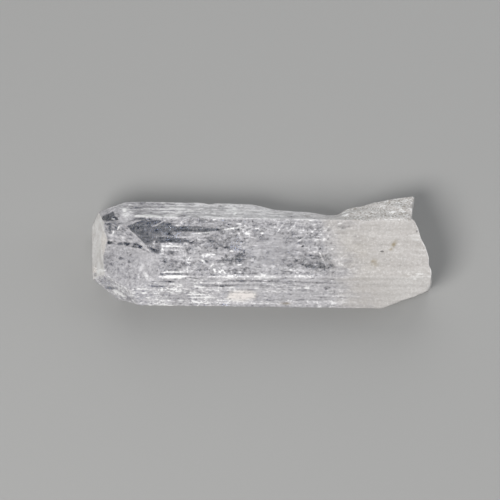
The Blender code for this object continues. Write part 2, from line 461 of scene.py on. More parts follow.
# %% [markdown]
# Placing them. A crack that met the skin would open the crystal, so a random place is kept only where the
# skin is further off than the crack is wide. A BVH tree finds the nearest spot of the skin quickly. Each
# kind of crack is (how many, lowest corner, highest corner, sizes, share that lies lengthwise, thickness
# against size).

# %% Hollow cracks
skin_tree = BVHTree.FromPolygons([tuple(point) for point in carved], skin_triangles.tolist())
RIM_SPARE = 1.2
MOST_BEND = 0.08
TILT_LEFT = 0.2


def room_at(place):
    """How far a place is from the skin. Outside the skin the number is negative."""
    nearest, facing, _, distance = skin_tree.find_nearest(place)
    return distance if (place - nearest).dot(facing) < 0 else -distance


def random_place(low, high):
    """A random place in a box whose corners are given in millimetres."""
    return Vector([chance.uniform(a, b) for a, b in zip(low, high)]) * MM


def random_facing(lengthwise):
    """A random direction. A lengthwise one is square to the crystal's length, near enough."""
    facing = Vector([chance.gauss(0, 1) for _ in range(3)])
    if chance.random() < lengthwise:
        facing.x *= TILT_LEFT
    return facing.normalized()


def scatter(kinds, make_from):
    """Many lenses of each kind at random places inside the crystal, clear of its skin."""
    places, faces = [], []
    for count, low, high, sizes, lengthwise, thickness in kinds.values():
        made = 0
        while made < count:
            centre = random_place(low, high)
            radius = chance.uniform(*sizes) * MM
            if room_at(centre) < radius * RIM_SPARE:
                continue
            bend = chance.uniform(-MOST_BEND, MOST_BEND)
            facing = random_facing(lengthwise)
            points, triangles = make_from(centre, facing, radius, thickness * radius, bend)
            start = len(places)
            places.extend(points)
            faces.extend([index + start for index in triangle] for triangle in triangles)
            made += 1
    return places, faces


CRACKS = {
    "flecks": (1500, (-15.0, -7.0, 0.3), (12.0, 7.0, 8.6), (0.10, 0.34), 0.5, 0.03),
    "veils": (110, (-13.0, -7.0, 0.3), (14.0, 7.0, 8.6), (0.6, 1.6), 0.75, 0.02),
    "tip_flecks": (160, (-21.0, -6.5, 0.3), (-13.0, 6.5, 8.0), (0.10, 0.30), 0.3, 0.03),
    "root_flecks": (400, (8.0, -7.0, 0.3), (21.0, 7.0, 8.6), (0.10, 0.35), 0.4, 0.03),
}
crack_points, crack_triangles = scatter(CRACKS, lens)
print("cracks:", len(crack_points), "points,", len(crack_triangles), "triangles")

# %% [markdown]
# White flakes. Where cracks lie close together they scatter the light and look like snow in the crystal.
# A glass full of tiny hollows would take very long to render, so each snowy spot is a thin white flake
# inside the clear crystal, thousands of them in one mesh. They are denser towards the milky end.

# %% White flakes
FLAKES = {
    "body": (2600, (-14.0, -7.0, 0.3), (10.0, 7.0, 8.6), (0.06, 0.20), 0.6, 0.10),
    "slivers": (500, (-13.0, -7.0, 0.3), (9.0, 7.0, 8.6), (0.2, 0.6), 0.95, 0.04),
    "tip": (260, (-21.0, -6.5, 0.3), (-13.0, 6.5, 8.0), (0.05, 0.16), 0.3, 0.10),
    "root": (1500, (6.0, -7.0, 0.3), (21.0, 7.0, 8.6), (0.08, 0.25), 0.5, 0.10),
}


def outward_lens(centre, facing, radius, bulge, bend):
    """The same lens with its faces pointing out, as a solid flake has them."""
    places, faces = lens(centre, facing, radius, bulge, bend)
    return places, [face[::-1] for face in faces]


flake_points, flake_triangles = scatter(FLAKES, outward_lens)
flakes_mesh = bpy.data.meshes.new("snow_flakes")
flakes_mesh.from_pydata([tuple(place) for place in flake_points], [], flake_triangles)
flakes = bpy.data.objects.new("snow_flakes", flakes_mesh)
bpy.context.scene.collection.objects.link(flakes)
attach(flakes, "root")
print("flakes:", len(flake_triangles), "triangles")

# %% [markdown]
# One mesh. The skin and the hollow cracks become one mesh, because light bends at a crack only where the
# crack is a face of the same glass. Smooth shading with sharp edges above 14 degrees keeps the facets
# crisp and the carved relief soft. The mesh rides on the imported body, and the imported crystal is then
# hidden.

# %% Join the skin and its cracks
SHARP = math.radians(14)
count = len(carved)
all_points = [tuple(point) for point in carved] + [tuple(point) for point in crack_points]
all_triangles = skin_triangles.tolist() + [[index + count for index in face] for face in crack_triangles]
skin_mesh = bpy.data.meshes.new("crystal_skin")
skin_mesh.from_pydata(all_points, [], all_triangles)
skin_mesh.shade_smooth()
skin_mesh.set_sharp_from_angle(angle=SHARP)
crystal = bpy.data.objects.new("crystal_skin", skin_mesh)
bpy.context.scene.collection.objects.link(crystal)
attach(crystal, "root")
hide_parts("crystal")
print("crystal skin:", len(skin_mesh.polygons), "triangles")

# %% [markdown]
# Patches that the eye picks out. A few clear windows look down into the dark of the crystal, and here and
# there a bright streak or a white spot lies just under the skin. Each is a small outline or oval, placed
# one by one. The outlines come first: their corners are (along, up) in millimetres.

# %% Outlines of the larger marks
CLEAR_OUTLINES = {
    "window": [(-18.5, 11.4), (-16.7, 11.75), (-13.4, 11.65), (-11.8, 11.2), (-11.1, 10.7), (-12.1, 10.1),
               (-11.3, 9.4), (-10.0, 9.3), (-10.3, 8.7), (-12.8, 8.7), (-14.1, 9.0), (-15.2, 7.9),
               (-16.6, 8.6), (-17.6, 9.7)],
    "window_tail": [(-13.2, 10.9), (-8.0, 10.9), (-4.8, 10.5), (-4.8, 10.1), (-8.0, 10.2), (-13.2, 10.2)],
    "dark_corner": [(-21.55, 11.8), (-20.85, 12.35), (-20.05, 12.7), (-19.6, 13.0), (-19.35, 12.3),
                    (-18.8, 11.7), (-20.3, 11.6)],
}
MARK_OUTLINES = {
    "band": [(-22.6, 4.7), (-21.5, 4.8), (-21.1, 6.2), (-20.7, 7.8), (-20.4, 9.1), (-20.9, 10.6),
             (-21.5, 11.8), (-22.6, 11.5)],
    "cream": [(-4.5, 1.5), (-4.2, 2.1), (-3.0, 2.35), (-1.6, 2.35), (-0.8, 2.0), (-0.9, 1.45),
              (-2.4, 1.15), (-3.8, 1.2)],
    "dashed_crack": [(-20.4, 9.02), (-19.0, 8.92), (-17.5, 8.76), (-16.4, 8.60), (-15.75, 8.28),
                     (-15.85, 7.95), (-17.5, 8.30), (-19.0, 8.48), (-20.4, 8.55)],
    "chip": [(-15.3, 8.6), (-13.4, 8.8), (-13.2, 7.9), (-13.6, 7.3), (-14.4, 7.5), (-15.1, 8.1)],
}
print("outlines drawn by hand:", len(CLEAR_OUTLINES) + len(MARK_OUTLINES))

# %% [markdown]
# Ovals on the tip. An oval is (along, up, half length, half height, turn in degrees, amount), and its
# amount runs from -1, clear, to 1, white. The tip has a riser with a few flecks, a smudge on its main
# face, soft white blobs beside the prism's edge, and a bright foot. The streaks on the foot (foot_streak,
# foot_streak_low) are painted highlights, and foot_rim and rear_rim are worn edges painted white, partly
# as highlights. One more oval marks a calm place, where the stipple of the tip is weaker.

# %% Marks on the tip
TIP_PATCHES = {
    "riser_dim": (-19.5, 10.7, 2.0, 1.0, 0, -0.42),
    "riser_line_high": (-19.6, 11.25, 1.6, 0.15, 0, -0.8),
    "riser_line_low": (-19.3, 10.45, 1.4, 0.14, 0, -0.7),
    "corner_fleck": (-19.6, 11.9, 0.28, 0.11, -15, 0.8),
    "riser_fleck_a": (-18.9, 10.7, 0.40, 0.13, 62, 1.0),
    "riser_fleck_b": (-19.6, 10.1, 0.32, 0.13, 75, 1.0),
    "band_fleck": (-20.9, 10.5, 0.28, 0.11, 70, 0.9),
    "tip_dark_a": (-18.6, 6.7, 0.35, 0.25, 0, -0.7),
    "tip_dark_b": (-17.5, 6.2, 0.22, 0.22, 0, -0.7),
    "tip_dark_c": (-17.3, 7.1, 0.20, 0.20, 0, -0.6),
    "rear_rim": (-19.4, 13.65, 1.9, 0.14, 19, 0.8),
    "smudge": (-20.2, 6.4, 1.2, 1.3, 0, -0.46),
    "band_specks": (-21.5, 5.0, 0.8, 0.35, 8, 0.9),
    "tip_blob_a": (-15.8, 5.5, 0.75, 0.26, 62, 0.65),
    "tip_blob_b": (-15.2, 4.4, 0.85, 0.32, -55, 0.70),
    "tip_blob_c": (-14.7, 3.9, 0.65, 0.30, 20, 0.60),
    "tip_blob_d": (-14.6, 6.3, 0.60, 0.20, 70, 0.50),
    "tip_blob_e": (-16.2, 4.3, 0.40, 0.18, -70, 0.55),
    "tip_smooth": (-14.8, 6.4, 1.6, 1.3, 0, 0.34),
    "back_patch": (-17.9, 12.5, 1.1, 1.1, 50, 0.75),
    "back_patch_core": (-18.1, 13.1, 0.40, 0.35, 0, 1.0),
    "foot_dim": (-20.6, 3.6, 1.1, 0.6, -10, -0.45),
    "foot_shadow": (-20.0, 2.75, 0.9, 0.22, -5, -0.9),
    "foot_streak": (-19.1, 2.25, 0.7, 0.20, -30, 0.95),
    "foot_streak_low": (-18.4, 1.75, 0.5, 0.16, -20, 0.95),
    "foot_speck_a": (-21.9, 5.3, 0.22, 0.14, 0, 1.0),
    "foot_speck_b": (-21.3, 5.2, 0.20, 0.16, 0, 1.0),
    "foot_speck_c": (-20.8, 5.1, 0.32, 0.14, 0, 0.9),
    "foot_speck_d": (-21.6, 4.75, 0.28, 0.12, 0, 0.9),
    "foot_facet": (-17.6, 1.4, 0.5, 0.4, -30, -0.4),
    "foot_rim": (-17.5, 0.65, 1.2, 0.16, -6, 0.8),
}
CALM_ON_TIP = (-15.8, 7.2, 2.6, 1.5, 0, 1.0)
print("marks on the tip:", len(TIP_PATCHES))

# %% [markdown]
# Ovals on the back face. It slopes away from the camera, so its marks look like thin lines: a bright and
# a dark one beside the long edge, a few sparks and a white rim along the top. The sparks, rear_bump,
# rear_white_c and back_speck_a are painted glints, and the rim is a worn edge painted white, partly as a
# highlight.

# %% Marks on the back face
BACK_PATCHES = {
    "rear_blue": (-15.5, 13.4, 2.2, 1.0, 0, -0.40),
    "rear_bump": (-13.0, 14.2, 0.50, 0.30, 0, 1.0),
    "top_rim": (-13.0, 14.15, 4.4, 0.12, 0, 0.6),
    "bright_line": (-15.1, 12.3, 2.1, 0.22, 0, 1.0),
    "bright_line_far": (-12.2, 12.3, 1.6, 0.20, 0, 0.9),
    "dark_line": (-15.2, 11.9, 1.8, 0.16, 0, -0.9),
    "dark_line_far": (-9.9, 12.0, 1.2, 0.20, 0, -0.6),
    "notch_spark": (-8.0, 13.8, 0.7, 0.22, 0, 0.6),
    "back_speck_a": (-3.6, 13.3, 0.32, 0.30, 0, 1.0),
    "back_speck_b": (-3.5, 12.65, 0.36, 0.20, 40, 1.0),
    "back_spark_c": (-11.0, 13.3, 0.9, 0.16, 0, 0.8),
    "back_spark_d": (-9.4, 13.0, 0.8, 0.16, 0, 0.8),
    "back_spark_e": (-5.9, 13.4, 0.16, 0.9, -15, 0.7),
    "back_streak": (-5.4, 12.0, 1.9, 0.12, 0, 0.7),
    "rear_dark_a": (-15.7, 14.1, 0.5, 0.14, 0, -0.9),
    "rear_dark_b": (-13.4, 13.6, 0.9, 0.30, 0, -0.5),
    "rear_dark_c": (-10.6, 12.3, 0.8, 0.18, 0, -0.7),
    "rear_dark_d": (-8.8, 12.2, 0.7, 0.15, 0, -0.6),
    "rear_dark_e": (-9.5, 13.7, 0.8, 0.15, 0, -0.5),
    "rear_white_a": (-10.9, 12.7, 0.6, 0.20, 0, 0.8),
    "rear_white_b": (-6.2, 12.8, 0.15, 0.7, 10, 0.7),
    "rear_white_c": (-13.2, 14.3, 0.35, 0.14, 0, 1.0),
    "smooth_back": (-2.8, 12.8, 2.8, 1.1, 0, 0.25),
}
print("marks on the back face:", len(BACK_PATCHES))

# %% [markdown]
# Ovals on the top face. Around the dark window lie dark rows, light lines of cracks seen edge on, and
# white flecks painted as highlights where cracks would mirror the lamp, beside a painted sheen on the
# chip. Further along, crossing cracks make a swirl, and a dim pool lies before the milky root. Here too
# one oval is a calm place, where the crackle is weaker.

# %% Marks on the top face
TOP_PATCHES = {
    "window_crack": (-13.2, 11.45, 1.1, 0.10, 30, 0.55),
    "window_crack_top": (-12.0, 12.0, 0.6, 0.08, 22, 0.45),
    "window_low_crack": (-14.1, 10.95, 0.5, 0.08, 8, 0.55),
    "second_row": (-11.3, 9.1, 1.7, 0.36, 0, -0.8),
    "under_tail": (-10.6, 10.0, 2.0, 0.50, 3, -0.50),
    "right_spots": (-8.9, 8.6, 0.8, 0.30, 0, -0.6),
    "dim_pool": (-6.6, 8.9, 1.3, 0.8, 0, -0.48),
    "dim_pool_far": (-5.0, 8.9, 2.2, 0.9, 0, -0.25),
    "streak_right": (-3.9, 10.65, 1.7, 0.11, 10, 1.0),
    "streak_left": (-7.7, 10.05, 2.3, 0.10, 6, 0.8),
    "white_spot_a": (-1.9, 9.95, 0.33, 0.20, 0, 1.0),
    "white_spot_b": (0.1, 10.0, 0.26, 0.18, 0, 1.0),
    "chip_sheen": (-14.3, 8.2, 0.6, 0.16, -25, 0.35),
    "chip_crescent": (-14.2, 7.75, 0.90, 0.24, -28, -1.0),
    "block_dark_a": (-11.9, 7.4, 0.65, 0.36, 0, -1.0),
    "block_dark_b": (-12.7, 6.3, 0.32, 0.50, 0, -0.95),
    "block_dark_c": (-11.2, 6.3, 0.50, 0.20, 0, -0.80),
    "block_dark_d": (-9.6, 7.9, 0.45, 0.22, 20, -0.85),
    "block_line_top": (-11.6, 8.3, 1.4, 0.12, 0, 0.9),
    "block_line_side": (-13.0, 7.6, 0.12, 0.7, 0, 0.7),
    "block_line_end": (-10.3, 7.3, 0.12, 0.9, 0, 0.5),
    "fleck_a": (-7.1, 7.15, 0.36, 0.16, 10, 1.0),
    "fleck_b": (-7.7, 6.3, 0.40, 0.18, -45, 1.0),
    "fleck_c": (-6.5, 5.8, 0.34, 0.18, 30, 1.0),
    "fleck_d": (-6.2, 5.1, 0.40, 0.13, -60, 1.0),
    "fleck_e": (-5.5, 4.9, 0.35, 0.12, -55, 1.0),
    "fleck_f": (-4.9, 4.9, 0.35, 0.12, -50, 1.0),
    "middle_dark_a": (-3.8, 6.5, 1.7, 0.36, 0, -0.50),
    "middle_dark_b": (-2.9, 7.0, 0.75, 0.50, 0, -0.38),
    "middle_dark_c": (-2.7, 5.1, 1.6, 0.20, 0, -0.55),
    "light_block": (-0.6, 7.4, 1.3, 1.6, 0, 0.25),
    "swirl_dark_a": (6.6, 10.7, 1.5, 0.34, 0, -0.5),
    "swirl_dark_b": (7.2, 9.8, 0.40, 0.19, 0, -0.8),
    "swirl_dark_d": (4.0, 10.0, 0.9, 0.22, -8, -0.5),
    "swirl_dark_e": (5.6, 9.4, 0.7, 0.18, 6, -0.5),
    "swirl_light_a": (6.5, 11.8, 0.8, 0.20, 0, 0.8),
    "swirl_light_b": (3.6, 11.6, 1.6, 0.18, 4, 0.5),
    "swirl_dark_c": (8.9, 10.5, 0.35, 0.24, 0, -0.6),
    "swirl_mix": (0.1, 9.4, 1.2, 0.6, 0, -0.45),
    "pool": (6.6, 6.3, 3.6, 1.20, 0, -0.48),
    "pool_high": (7.1, 6.9, 2.8, 0.30, 0, -0.60),
    "pool_low": (7.3, 5.7, 2.7, 0.42, 0, -0.72),
    "pool_spot": (8.9, 6.6, 0.35, 0.18, 0, -0.9),
    "pool_crack": (8.2, 6.3, 1.0, 0.11, -62, 0.55),
    "pool_crack_far": (10.2, 5.9, 0.12, 0.8, 0, 0.6),
    "cross_line": (-1.8, 5.6, 0.10, 2.2, 0, 0.5),
    "cross_line_b": (-9.9, 6.6, 0.10, 1.6, 8, 0.45),
    "cross_line_c": (-5.6, 3.2, 0.09, 0.9, -6, 0.6),
    "cross_line_d": (9.9, 4.4, 0.09, 1.3, 0, 0.5),
    "swirl_line_a": (3.1, 11.5, 0.9, 0.09, 50, 0.6),
    "swirl_line_b": (4.0, 10.7, 0.9, 0.09, 45, 0.6),
    "swirl_line_c": (2.2, 10.3, 0.7, 0.09, 60, 0.6),
    "swirl_line_d": (6.7, 10.2, 0.7, 0.09, -50, 0.6),
    "swirl_line_e": (8.7, 10.7, 0.8, 0.09, 55, 0.6),
    "swirl_line_f": (5.1, 9.1, 1.0, 0.09, 30, 0.6),
    "pool_crack_mid": (7.6, 7.5, 0.9, 0.10, -60, 0.6),
}
CALM_ON_TOP = (1.2, 7.8, 3.4, 2.4, 0, 1.0)
print("marks on the top face:", len(TOP_PATCHES))

# %% [markdown]
# Ovals on the ridge and the front face. The ridge between the top and the front is worn, and its shine
# is painted: the white pieces along it are painted highlights. Below it run dark growth lines, each a
# long flat oval. On the front, front_fleck_a is a painted glint, and the front rims are worn edges
# painted white, partly as highlights.

# %% Painted highlights on the ridge, and marks on the front
PAINTED_RIDGE_HIGHLIGHTS = {
    "ridge_thick": (-11.6, 4.25, 1.9, 0.28, 0, 1.0),
    "ridge_thin": (-11.6, 4.9, 1.9, 0.11, 0, 0.9),
    "ridge_gap": (-11.7, 4.65, 1.4, 0.11, 0, -0.7),
    "ridge_middle": (-4.5, 4.20, 2.6, 0.30, 0, 0.55),
    "ridge_bright": (0.6, 4.2, 2.3, 0.30, 0, 0.72),
    "ridge_right": (5.2, 4.25, 2.6, 0.28, 0, 0.55),
    "wedge_line": (18.0, 4.80, 3.2, 0.15, -1, 0.42),
    "wedge_end": (20.9, 4.65, 0.9, 0.13, 0, 0.85),
}
FRONT_PATCHES = {
    "front_dark_a": (-13.8, 3.0, 1.2, 0.15, 0, -0.75),
    "front_dark_b": (-12.4, 3.6, 1.1, 0.12, 0, -0.6),
    "front_dark_c": (-5.7, 3.1, 2.3, 0.20, 0, -0.65),
    "front_dark_d": (-2.5, 3.7, 3.2, 0.13, 0, -0.5),
    "front_dark_e": (2.3, 3.6, 3.4, 0.12, 0, -0.5),
    "front_dark_f": (7.2, 3.5, 2.4, 0.13, 0, -0.5),
    "front_dark_g": (8.7, 2.8, 0.5, 0.15, 0, -0.8),
    "front_dark_h": (1.5, 2.9, 2.5, 0.12, 0, -0.5),
    "front_fleck_a": (-15.5, 2.1, 0.35, 0.18, 0, 0.9),
    "front_fleck_b": (-13.2, 2.5, 0.30, 0.15, 0, 0.9),
    "front_line_a": (-8.5, 1.9, 1.6, 0.09, 0, 1.0),
    "front_line_b": (-7.6, 1.5, 2.3, 0.09, 0, 0.9),
    "front_cross": (-5.7, 2.6, 0.10, 0.6, 0, 0.6),
    "front_rim_a": (-13.8, 0.42, 3.8, 0.15, 1, 0.9),
    "front_rim_b": (-6.5, 0.30, 4.6, 0.13, 0, 0.7),
}
print("marks on the ridge and the front:", len(PAINTED_RIDGE_HIGHLIGHTS) + len(FRONT_PATCHES))

# %% [markdown]
# Ovals on the root. The milky end has few marks: some wisps, two dark dashes, and sparks on the grainy
# horn, which are painted highlights. The stains are brown, so they are kept apart from the marks that
# only change the milk.

# %% Marks on the root
ROOT_PATCHES = {
    "root_dash_a": (10.8, 10.7, 0.36, 0.12, 0, -0.6),
    "root_dash_b": (15.9, 7.6, 0.30, 0.10, 0, -0.9),
    "root_speck": (12.7, 9.6, 0.16, 0.14, 0, 0.7),
    "root_streak_a": (10.9, 10.9, 1.3, 0.18, 0, -0.30),
    "root_streak_b": (11.3, 6.2, 0.9, 0.40, 0, -0.25),
    "root_streak_c": (9.8, 3.4, 1.5, 0.13, 0, -0.35),
    "root_streak_d": (14.5, 3.3, 2.2, 0.10, 0, -0.22),
    "root_wisp_a": (13.4, 8.6, 1.6, 0.14, 12, 0.35),
    "root_wisp_b": (15.2, 9.6, 1.8, 0.13, 10, 0.30),
    "root_blush": (20.2, 4.0, 0.28, 0.20, 0, 0.8),
    "end_dark": (20.5, 10.3, 0.22, 0.18, 0, -0.6),
    "horn_sparks": (11.1, 12.6, 0.7, 0.40, 25, 1.0),
    "horn_spark_b": (17.3, 12.7, 0.8, 0.30, 10, 0.9),
    "horn_spark_c": (18.6, 13.0, 0.5, 0.30, -20, 0.9),
    "horn_spark_d": (15.9, 13.6, 0.5, 0.20, 10, 0.8),
    "horn_foot_line": (17.6, 11.85, 1.8, 0.12, 0, 0.8),
}
STAINS = {
    "stain_high": (17.5, 8.6, 0.80, 0.40, 55, 0.80),
    "stain_high_left": (17.1, 7.9, 0.45, 0.28, 20, 0.60),
    "stain_low": (14.9, 6.1, 0.70, 0.75, 0, 0.55),
    "stain_low_core": (14.8, 6.3, 0.55, 0.30, 0, 0.85),
    "stain_foot": (3.2, 0.75, 1.0, 0.26, 0, 0.70),
    "tan_cloud": (12.6, 7.6, 2.6, 2.6, 0, 0.13),
    "tan_cloud_low": (14.0, 5.6, 3.2, 1.0, 0, 0.08),
}
patches = [*TIP_PATCHES.values(), *BACK_PATCHES.values(), *TOP_PATCHES.values()]
patches += [*PAINTED_RIDGE_HIGHLIGHTS.values(), *FRONT_PATCHES.values(), *ROOT_PATCHES.values()]
print("hand-placed patches:", len(patches))

# %% [markdown]
# Drawing a mark. A mark isn't a picture but a number from 0 to 1 at each point of the skin. For an
# outline it comes from how far inside the outline the point lies, and for an oval from how far off its
# middle. Noise is added to that distance before it is cut off, and this makes the edge ragged, as real
# chips and stains have it.

# %% Masks from outlines and ovals
RAGGED = 0.16
SMALL = 0.6
RAGGED_OVAL = 1.8
OVAL_RIM = 1.15
SMALL_CORE = 0.55
LARGE_CORE = 0.15
ragged_edge = RAGGED * layered_noise(unrolled * (1.2, 3.0, 1.0), seed=71, layers=2)
picture = np.column_stack([along, up])
facing_camera = ramp(seen, 0.05, 0.30)


def outline_mask(corners, soft=0.15, ragged=1.0):
    """1 inside an outline on the seen side, 0 outside it, with a soft ragged edge."""
    corners = np.array(corners)
    distance = distance_to_outline(picture, corners)
    inwards = np.where(inside_polygon(picture, corners), distance, -distance)
    return ramp(inwards + ragged * ragged_edge, -soft, soft) * facing_camera


def oval_mask(patch, inner=None):
    """1 in the middle of an oval on the seen side and 0 at its edge. Small ovals have harder edges."""
    at_along, at_up, half_length, half_height, turn, _ = patch
    turned = math.radians(turn)
    dx, dy = along - at_along, up - at_up
    long_way = (dx * math.cos(turned) + dy * math.sin(turned)) / half_length
    short_way = (dy * math.cos(turned) - dx * math.sin(turned)) / half_height
    raggedness = RAGGED_OVAL * min(1.0, half_height / SMALL + 0.2)
    reach = np.hypot(long_way, short_way) + raggedness * ragged_edge
    if inner is None:
        inner = SMALL_CORE if half_height < SMALL else LARGE_CORE
    return ramp(-reach, -OVAL_RIM, -inner) * facing_camera


print("points that face the camera:", int((facing_camera > 0.5).sum()))

# %% [markdown]
# All the marks at once. The window is kept off the tip's faces, so its left side is the crystal's own
# edge and stays crisp. Light marks, painted highlights among them, are gathered in lift and dark ones in
# sink, and where marks overlap the stronger one counts. The dashed crack breaks up where the noise is low.

# %% Draw the marks
clear_masks = {name: outline_mask(corners, 0.09, 0.5) for name, corners in CLEAR_OUTLINES.items()}
clear_masks["window"] *= 1 - on_tip
clear_here = np.maximum.reduce(list(clear_masks.values()))
chip_here = outline_mask(MARK_OUTLINES["chip"])
band_here = np.maximum(end_band, outline_mask(MARK_OUTLINES["band"], 0.12))
lift = np.zeros(len(along))
sink = np.zeros(len(along))
for patch in patches:
    amount = patch[-1]
    mask = oval_mask(patch) * abs(amount)
    if amount > 0:
        lift = np.maximum(lift, mask)
    else:
        sink = np.maximum(sink, mask)
dashes = ramp(layered_noise(unrolled * (1.7, 0.6, 1.0), seed=83, layers=2), -0.45, -0.15)
dashed_crack = outline_mask(MARK_OUTLINES["dashed_crack"], 0.06, 0.25)
sink = np.maximum(sink, dashed_crack * (0.35 + 0.65 * dashes))
cream_here = outline_mask(MARK_OUTLINES["cream"], 0.42, 0.6) * ramp(along, -7.0, -4.0)
sink *= 0.55 + 0.45 * ramp(layered_noise(solid * (2.2, 3.0, 3.0), seed=63, layers=2), -0.25, 0.15)
stain_here = np.maximum.reduce([oval_mask(patch, 0.1) * patch[-1] for patch in STAINS.values()])
stain_here *= 0.55 + 0.45 * ramp(layered_noise(unrolled * (2.0, 3.0, 1.0), seed=58, layers=2), -0.4, 0.4)
print("points in a mark:", int(((lift > 0.1) | (sink > 0.1)).sum()))

# %% [markdown]
# Milk. How white the crystal is at a point is one number, from 0, clear glass, to 1, solid white. The
# body is half milky, the window is nearly clear, the root is nearly solid, and the marks add milk or take
# it away. It could be painted as an image too, but numbers on the points need no unwrapping and follow
# the shape.

# %% How milky each point is
BODY_MILK = 0.48
WINDOW_MILK = 0.12
CHIP_MILK = 0.24
ROOT_MILK = 0.90
MARK_MILK = 0.95
RIDGE_MILK = 0.95
BAND_MILK = 0.97
BREAK_MILK = 0.92
HORN_MILK = 0.85

milk = BODY_MILK + 0.10 * streaky + 0.12 * blotchy + 0.05 * specky
# The extra milk on the back faces here, and on the front faces two lines down, is painted light: it makes
# those sides of the prism lighter.
milk += 0.10 * on_tip + 0.16 * front_corner + 0.18 * rear * ramp(along, -16.0, -9.0) + 0.14 * rear
milk += 0.46 * layered_noise(unrolled * (1.1, 3.0, 1.0), seed=91, layers=3) * rear * (1 - rootward)
milk += 0.17 * ramp(-to_back, 0.3, 0.6) * on_prism
milk += (ROOT_MILK - milk) * rootward
window_streaks = ramp(layered_noise(unrolled * (0.45, 3.2, 1.0), seed=67, layers=2), 0.0, 0.6)
window_streaks *= ramp(along, -15.5, -12.5)
milk += (WINDOW_MILK + 0.24 * window_streaks - milk) * clear_here
milk += (CHIP_MILK - milk) * chip_here
milk *= 1 - sink
milk += (1 - milk) * MARK_MILK * np.maximum(lift, cream_here)
# Worn edges get whiter milk, partly from wear and partly as a painted highlight along the edges.
milk += (RIDGE_MILK - milk) * 0.22 * wear * (1 - 0.7 * on_tip) * (1 - clear_here)
milk += (BAND_MILK - milk) * band_here * (1 - sink)
milk = np.maximum.reduce([milk, BREAK_MILK * broken_end, HORN_MILK * horn])
print("mean milk:", round(float(milk.mean()), 3))

# %% [markdown]
# More finishes of the same kind. Frost is how rough the surface is and warm how beige the white is. Busy
# is how strong the fine crackle shows, lined how strong the growth lines show, and bright how much whiter
# than milk the point is, partly its own white and partly painted highlights and painted light. Each is
# built from the regions and marks above.

# %% Frost, warmth, crackle and shine
frost = np.maximum.reduce([broken, 0.7 * band_here, 0.30 * on_tip, 0.25 * rootward, 0.4 * wear])
warm = np.maximum.reduce([rootward, cream_here, band_here, horn])
plain_tip = 0.75 * on_tip * (1 - front_corner)
plain = np.maximum.reduce([0.60 * clear_here, plain_tip, 0.9 * band_here, 0.6 * chip_here])
calm = oval_mask(CALM_ON_TOP, 0.45)
busy = (1 - 0.82 * rootward) * (1 - plain) * (1 - 0.45 * sink) * (1 - 0.55 * calm) * (1 - 0.3 * rear)
busy *= 1 - 0.25 * ramp(along, -8.0, -3.0) * ramp(-to_back, 0.3, 0.6)
lined = 0.50 * on_prism * (1 - 0.8 * rootward) * (1 - horn) * (1 - 0.6 * ramp(to_sky, 0.8, 0.9))
lined = np.maximum.reduce([lined, riser * (1 - band_here), 0.8 * rear * ramp(-along, 5.0, 9.0)])
lined *= 1 - 0.6 * clear_here
mottled = 0.30 + 0.34 * ramp(layered_noise(solid * (1.5, 1.3, 1.3), seed=47, layers=3), -0.4, 0.4)
# Painted light: the back faces, more so away from the tip, and the front of the root, more so towards the
# broken end, are painted whiter as if more lit, and the worn rim at the broken end is a painted highlight.
# The band, the horn and the broken end are whiter of their own.
painted_rear_light = 0.30 * rear * ramp(along, -12, -6)
whiteness_and_painted_light = np.maximum.reduce([mottled * end_band, 0.40 * horn, painted_rear_light, 0.25 * broken_end])
whiteness_and_painted_light = np.maximum(whiteness_and_painted_light, 0.65 * wear * ramp(along, 19.0, 20.5))
whiteness_and_painted_light = np.maximum(whiteness_and_painted_light, (0.03 + 0.24 * ramp(along, 12.0, 20.0)) * rootward * ramp(-to_back, 0.3, 0.6))
bright = np.maximum(ramp(lift, 0.5, 1.0), whiteness_and_painted_light)
tip_calm = 1 - 0.55 * oval_mask(CALM_ON_TIP)
stipple = on_tip * (1 - band_here) * (1 - 0.6 * sink) * (1 - 0.8 * riser) * tip_calm
grainy = horn * (0.45 + 0.55 * facing_camera)
grainy = np.maximum.reduce([grainy, 0.45 * broken_end, 0.5 * notched, 0.20 * rootward, 0.24 * band_here])
print("share of points that shine:", round(float((bright > 0.3).mean()), 3))

# %% [markdown]
# Handing the numbers over. A mesh can store named numbers on its points, called attributes, and a
# material reads them by name. They are spread smoothly over each triangle. The hollow cracks get 0 for
# all of them, which leaves them clear.

# %% Keep the numbers on the mesh
FINISHES = {
    "milk": milk, "frost": frost, "warm": warm, "busy": busy, "lined": lined, "bright": bright,
    "cream": cream_here, "stain": stain_here, "broken": grainy, "stipple": stipple,
}
for name, values in FINISHES.items():
    attribute = skin_mesh.attributes.new(name, "FLOAT", "POINT")
    whole = np.concatenate([values.clip(0, 1), np.zeros(len(crack_points))])
    attribute.data.foreach_set("value", whole.astype(np.float32))
print("kept on the mesh:", ", ".join(FINISHES))

# %% [markdown]
# The crystal's material is one glass with milk in it. The clear part is a Principled shader with full
# transmission, and milk lowers it, so that part of the light comes back white as from small cracks.
# Materials are made of nodes, and writing out each node and link takes many lines, so a few short helpers
# make the common ones: a sum, a change of range, a mix of two colours, and a number read from the mesh.

# %% Node helpers
def new_material(name):
    """A material with its Principled shader ready."""
    material = bpy.data.materials.new(name)
    material.use_nodes = True
    return material


def feed(tree, socket, value):
    """Sets a socket to a number, or links it to another node's output."""
    if isinstance(value, (int, float)):
        socket.default_value = value
    else:
        tree.links.new(value, socket)


def from_mesh(tree, name):
    """One of the numbers that are kept on the mesh."""
    node = tree.nodes.new("ShaderNodeAttribute")
    node.attribute_name = name
    return node.outputs["Fac"]


def arithmetic(tree, operation, *values, clamp=False):
    """The result of one sum, product or other operation."""
    node = tree.nodes.new("ShaderNodeMath")
    node.operation = operation
    node.use_clamp = clamp
    for socket, value in zip(node.inputs, values):
        feed(tree, socket, value)
    return node.outputs["Value"]


def product(tree, first, second):
    """Two values multiplied."""
    return arithmetic(tree, "MULTIPLY", first, second)


